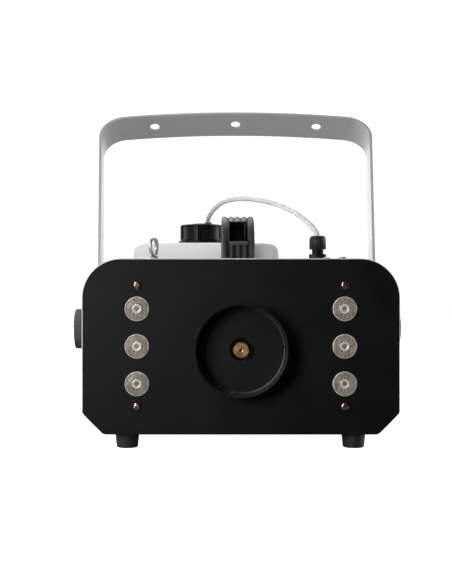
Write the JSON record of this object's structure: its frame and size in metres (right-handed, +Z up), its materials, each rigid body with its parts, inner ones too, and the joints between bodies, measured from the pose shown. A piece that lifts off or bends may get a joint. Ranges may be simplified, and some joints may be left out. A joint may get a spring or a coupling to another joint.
{
  "type": "fog machine",
  "caption": "Compact fog machine with a leaning U bracket, round front lenses, a nozzle in a guard ring, a drop-in tank and a carry handle.",
  "frame": {"origin": "on the floor plane under the middle of the machine's box, with the bracket at its leaning rest pose", "axes": "+X to the machine's right as seen from the front, +Y to the rear, +Z up; fog leaves towards -Y"},
  "size_m": [0.323, 0.3777, 0.3401],
  "materials": {
    "cover_paint": "satin light grey paint",
    "panel_black": "fine-textured black powder coat",
    "tray_black": "fine-textured black powder coat",
    "ring_black": "fine-textured black powder coat",
    "zinc_sheet": "zinc-plated sheet",
    "foot_rubber": "matt black rubber",
    "lens_grey": "pebbled warm grey lens",
    "led_board": "white board",
    "screw_steel": "nickel-plated steel",
    "nozzle_brass": "turned brass",
    "heater_aluminium": "as cast",
    "ceramic": "glazed ceramic",
    "pump_red": "moulded red plastic",
    "plunger_steel": "ground steel",
    "board_green": "green solder mask",
    "pipe_steel": "drawn steel",
    "hose_clear": "translucent soft plastic",
    "tank_white": "translucent white polythene",
    "cap_black": "moulded black plastic",
    "gland_black": "moulded black nylon",
    "handle_black": "moulded black plastic",
    "bracket_grey": "satin light grey paint",
    "knob_black": "moulded black plastic",
    "washer_nylon": "black nylon",
    "eye_zinc": "zinc-plated steel",
    "socket_black": "moulded black plastic",
    "rocker_red": "moulded red plastic",
    "display_dark": "clear window over a dark display",
    "key_black": "moulded black plastic",
    "connector_metal": "nickel-plated shell"
  },
  "bodies": {
    "housing": {"base_tray": "tray_black", "front_panel": "panel_black", "rear_panel": "panel_black", "top_cover": "cover_paint", "tank_tray": "zinc_sheet", "foot_front_left": "foot_rubber", "foot_front_right": "foot_rubber", "foot_rear_left": "foot_rubber", "foot_rear_right": "foot_rubber", "lens_left_low": "lens_grey", "lens_left_middle": "lens_grey", "lens_left_high": "lens_grey", "lens_right_low": "lens_grey", "lens_right_middle": "lens_grey", "lens_right_high": "lens_grey", "front_screw_left_low": "screw_steel", "front_screw_left_high": "screw_steel", "front_screw_right_low": "screw_steel", "front_screw_right_high": "screw_steel", "led_board_left": "led_board", "led_board_right": "led_board", "nozzle_ring": "ring_black", "nozzle": "nozzle_brass", "heater_block": "heater_aluminium", "heater_support": "zinc_sheet", "thermostat": "ceramic", "pump_body": "pump_red", "pump_bracket": "zinc_sheet", "control_board": "board_green", "delivery_pipe": "pipe_steel", "inlet_hose": "hose_clear", "cover_screw_left": "screw_steel", "cover_screw_right_rear": "screw_steel", "cover_screw_right_front": "screw_steel", "eye_bolt": "eye_zinc", "gland_body": "gland_black", "gland_nut": "gland_black", "fluid_hose": "hose_clear", "carry_handle": "handle_black", "pivot_washer_left": "washer_nylon", "pivot_washer_right": "washer_nylon", "power_inlet": "socket_black", "switch_frame": "socket_black", "display_module": "display_dark", "dmx_in": "connector_metal", "dmx_out": "connector_metal"},
    "bracket": {"bracket": "bracket_grey"},
    "knob_left": {"knob_left": "knob_black"},
    "knob_right": {"knob_right": "knob_black"},
    "tank": {"tank": "tank_white", "tank_top": "tank_white", "cap_insert": "cap_black"},
    "cap": {"cap_ring": "cap_black"},
    "rocker": {"switch_rocker": "rocker_red"},
    "fuse_cap": {"fuse_cap": "socket_black"},
    "plunger": {"pump_plunger": "plunger_steel"},
    "key_1": {"menu_key_1": "key_black"},
    "key_2": {"menu_key_2": "key_black"},
    "key_3": {"menu_key_3": "key_black"},
    "key_4": {"menu_key_4": "key_black"}
  },
  "joints": [
    {"name": "bracket_tilt", "type": "hinge", "parent": "housing", "child": "bracket", "pos_m": [0, -0.0038, 0.0964], "axis": [1, 0, 0], "range_deg": [-62.5, 137.5]},
    {"name": "knob_left_turn", "type": "hinge", "parent": "housing", "child": "knob_left", "pos_m": [-0.1425, -0.0038, 0.0964], "axis": [-1, 0, 0], "continuous": true},
    {"name": "knob_right_turn", "type": "hinge", "parent": "housing", "child": "knob_right", "pos_m": [0.1425, -0.0038, 0.0964], "axis": [1, 0, 0], "continuous": true},
    {"name": "tank_lift", "type": "slide", "parent": "housing", "child": "tank", "axis": [0, 0, 1], "range_m": [0, 0.12], "deforming": ["fluid_hose"]},
    {"name": "cap_turn", "type": "hinge", "parent": "tank", "child": "cap", "pos_m": [-0.0365, 0.0962, 0.1853], "axis": [0, 0, 1], "continuous": true},
    {"name": "power_switch", "type": "hinge", "parent": "housing", "child": "rocker", "pos_m": [0.052, 0.1522, 0.042], "axis": [1, 0, 0], "range_deg": [0, 14]},
    {"name": "fuse_cap_turn", "type": "hinge", "parent": "housing", "child": "fuse_cap", "pos_m": [0.018, 0.1545, 0.042], "axis": [0, 1, 0], "range_deg": [0, 60]},
    {"name": "plunger_stroke", "type": "slide", "parent": "housing", "child": "plunger", "axis": [0, 1, 0], "range_m": [-0.0015, 0.0015], "stiffness_N_per_m": 400},
    {"name": "key_1_press", "type": "slide", "parent": "housing", "child": "key_1", "axis": [0, -1, 0], "range_m": [0, 0.0012], "stiffness_N_per_m": 150},
    {"name": "key_2_press", "type": "slide", "parent": "housing", "child": "key_2", "axis": [0, -1, 0], "range_m": [0, 0.0012], "stiffness_N_per_m": 150},
    {"name": "key_3_press", "type": "slide", "parent": "housing", "child": "key_3", "axis": [0, -1, 0], "range_m": [0, 0.0012], "stiffness_N_per_m": 150},
    {"name": "key_4_press", "type": "slide", "parent": "housing", "child": "key_4", "axis": [0, -1, 0], "range_m": [0, 0.0012], "stiffness_N_per_m": 150}
  ]
}
